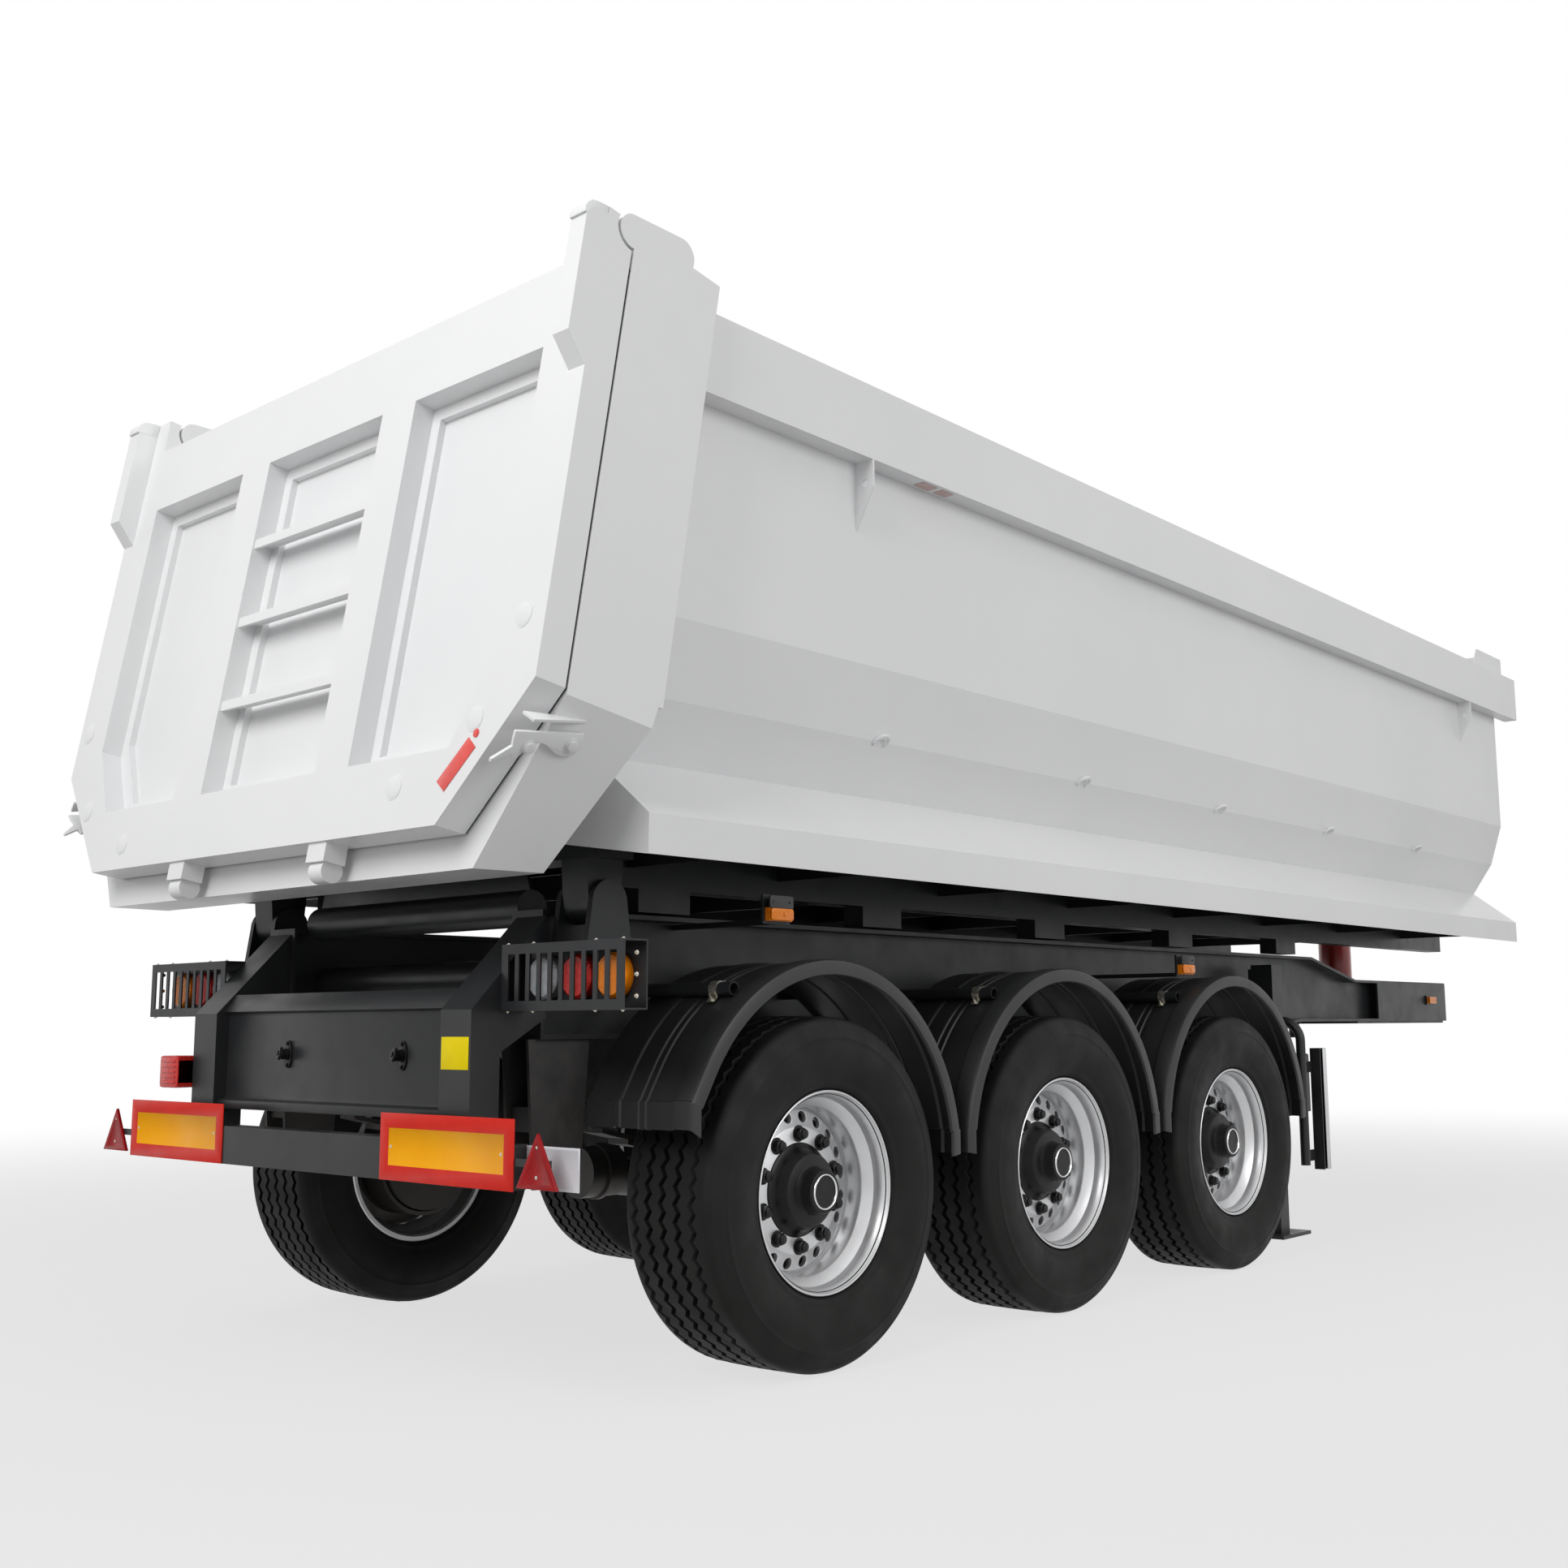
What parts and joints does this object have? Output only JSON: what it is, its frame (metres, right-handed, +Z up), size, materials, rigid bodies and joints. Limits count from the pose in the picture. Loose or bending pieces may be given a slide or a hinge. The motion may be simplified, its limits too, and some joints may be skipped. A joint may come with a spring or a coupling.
{
  "type": "tipper semi-trailer",
  "caption": "Three-axle tipping semi-trailer with a half-pipe steel body, top-hinged rear gate, front telescopic hoist and landing legs.",
  "frame": {"origin": "on the ground below the middle of the whole outline", "axes": "+X forward to the kingpin end, +Y left, +Z up"},
  "size_m": [7.9729, 2.55, 3.248],
  "materials": {
    "body_white": "semi-gloss white paint",
    "chassis_black": "semi-gloss charcoal paint",
    "guard_black": "satin black moulded plastic",
    "tyre_rubber": "matt rubber",
    "wheel_silver": "silver paint on the rim, black hub",
    "steel_dark": "black paint over steel",
    "board_red": "retroreflective sheet",
    "triangle_red": "red reflector plastic",
    "lens_clear": "clear lens",
    "lens_red": "red lens",
    "lens_amber": "amber lens",
    "hoist_red": "gloss red paint",
    "stage_chrome": "polished chrome"
  },
  "bodies": {
    "chassis": {"frame_rail_left": "chassis_black", "frame_rail_right": "chassis_black", "crossmembers": "chassis_black", "coupler_plate": "chassis_black", "tip_pivot_brackets": "chassis_black", "rear_uprights": "chassis_black", "rear_panel": "chassis_black", "underrun_bar": "chassis_black", "marker_boards": "board_red", "warning_triangles": "triangle_red", "lamp_guards": "chassis_black", "lamps_clear": "lens_clear", "lamps_red": "lens_red", "lamps_amber": "lens_amber", "mudguards_left": "guard_black", "mudguards_right": "guard_black", "mudguard_tubes": "chassis_black", "axle_beams": "steel_dark", "leaf_springs": "steel_dark", "spring_hangers": "chassis_black", "brake_chambers": "steel_dark", "air_tanks": "chassis_black", "landing_legs": "chassis_black", "side_guards": "chassis_black"},
    "bed": {"tub_side_left": "body_white", "tub_side_right": "body_white", "tub_floor": "body_white", "front_wall": "body_white", "hoist_ears": "body_white", "top_rail_left": "body_white", "top_rail_right": "body_white", "rear_frame": "body_white", "skirt_left": "body_white", "skirt_right": "body_white", "bed_runners": "chassis_black", "bed_bearers": "chassis_black", "tip_pivot_lugs": "chassis_black", "gate_hinge_links": "body_white", "gate_latches": "body_white", "rope_hooks": "body_white"},
    "gate": {"gate_panel": "body_white", "gate_frame": "body_white"},
    "hoist_tube": {"hoist_tube": "hoist_red"},
    "hoist_stage_1": {"hoist_stage_1": "stage_chrome"},
    "hoist_stage_2": {"hoist_stage_2": "stage_chrome"},
    "hoist_stage_3": {"hoist_stage_3": "stage_chrome"},
    "hoist_stage_4": {"hoist_stage_4": "stage_chrome"},
    "wheel_1_left": {"tyre_1_left": "tyre_rubber", "wheel_1_left": "wheel_silver"},
    "wheel_1_right": {"tyre_1_right": "tyre_rubber", "wheel_1_right": "wheel_silver"},
    "wheel_2_left": {"tyre_2_left": "tyre_rubber", "wheel_2_left": "wheel_silver"},
    "wheel_2_right": {"tyre_2_right": "tyre_rubber", "wheel_2_right": "wheel_silver"},
    "wheel_3_left": {"tyre_3_left": "tyre_rubber", "wheel_3_left": "wheel_silver"},
    "wheel_3_right": {"tyre_3_right": "tyre_rubber", "wheel_3_right": "wheel_silver"}
  },
  "joints": [
    {"name": "bed_tip", "type": "hinge", "parent": "chassis", "child": "bed", "pos_m": [-3.35422, 0, 1.375], "axis": [0, -1, 0], "range_deg": [0, 45]},
    {"name": "gate_swing", "type": "hinge", "parent": "bed", "child": "gate", "pos_m": [-3.6109, 0, 3.198], "axis": [0, 1, 0], "range_deg": [0, 65]},
    {"name": "hoist_lean", "type": "hinge", "parent": "bed", "child": "hoist_tube", "pos_m": [3.71078, 0, 1.655], "axis": [0, 1, 0], "range_deg": [0, 22]},
    {"name": "hoist_stage_1_slide", "type": "slide", "parent": "hoist_tube", "child": "hoist_stage_1", "axis": [0, 0, -1], "range_m": [0, 1.34681]},
    {"name": "hoist_stage_2_slide", "type": "slide", "parent": "hoist_stage_1", "child": "hoist_stage_2", "axis": [0, 0, -1], "range_m": [0, 1.34681]},
    {"name": "hoist_stage_3_slide", "type": "slide", "parent": "hoist_stage_2", "child": "hoist_stage_3", "axis": [0, 0, -1], "range_m": [0, 1.34681]},
    {"name": "hoist_stage_4_slide", "type": "slide", "parent": "hoist_stage_3", "child": "hoist_stage_4", "axis": [0, 0, -1], "range_m": [0, 1.34681]},
    {"name": "wheel_1_left_spin", "type": "hinge", "parent": "chassis", "child": "wheel_1_left", "pos_m": [-2.70422, 1.02, 0.525], "axis": [0, 1, 0], "continuous": true},
    {"name": "wheel_1_right_spin", "type": "hinge", "parent": "chassis", "child": "wheel_1_right", "pos_m": [-2.70422, -1.02, 0.525], "axis": [0, 1, 0], "continuous": true},
    {"name": "wheel_2_left_spin", "type": "hinge", "parent": "chassis", "child": "wheel_2_left", "pos_m": [-1.39422, 1.02, 0.525], "axis": [0, 1, 0], "continuous": true},
    {"name": "wheel_2_right_spin", "type": "hinge", "parent": "chassis", "child": "wheel_2_right", "pos_m": [-1.39422, -1.02, 0.525], "axis": [0, 1, 0], "continuous": true},
    {"name": "wheel_3_left_spin", "type": "hinge", "parent": "chassis", "child": "wheel_3_left", "pos_m": [-0.08422, 1.02, 0.525], "axis": [0, 1, 0], "continuous": true},
    {"name": "wheel_3_right_spin", "type": "hinge", "parent": "chassis", "child": "wheel_3_right", "pos_m": [-0.08422, -1.02, 0.525], "axis": [0, 1, 0], "continuous": true}
  ],
  "couplings": [
    {"joint": "hoist_lean", "follows": "bed_tip", "ratio": 0.4888},
    {"joint": "hoist_stage_1_slide", "follows": "bed_tip", "m_per_rad": 1.7148},
    {"joint": "hoist_stage_2_slide", "follows": "bed_tip", "m_per_rad": 1.7148},
    {"joint": "hoist_stage_3_slide", "follows": "bed_tip", "m_per_rad": 1.7148},
    {"joint": "hoist_stage_4_slide", "follows": "bed_tip", "m_per_rad": 1.7148}
  ]
}
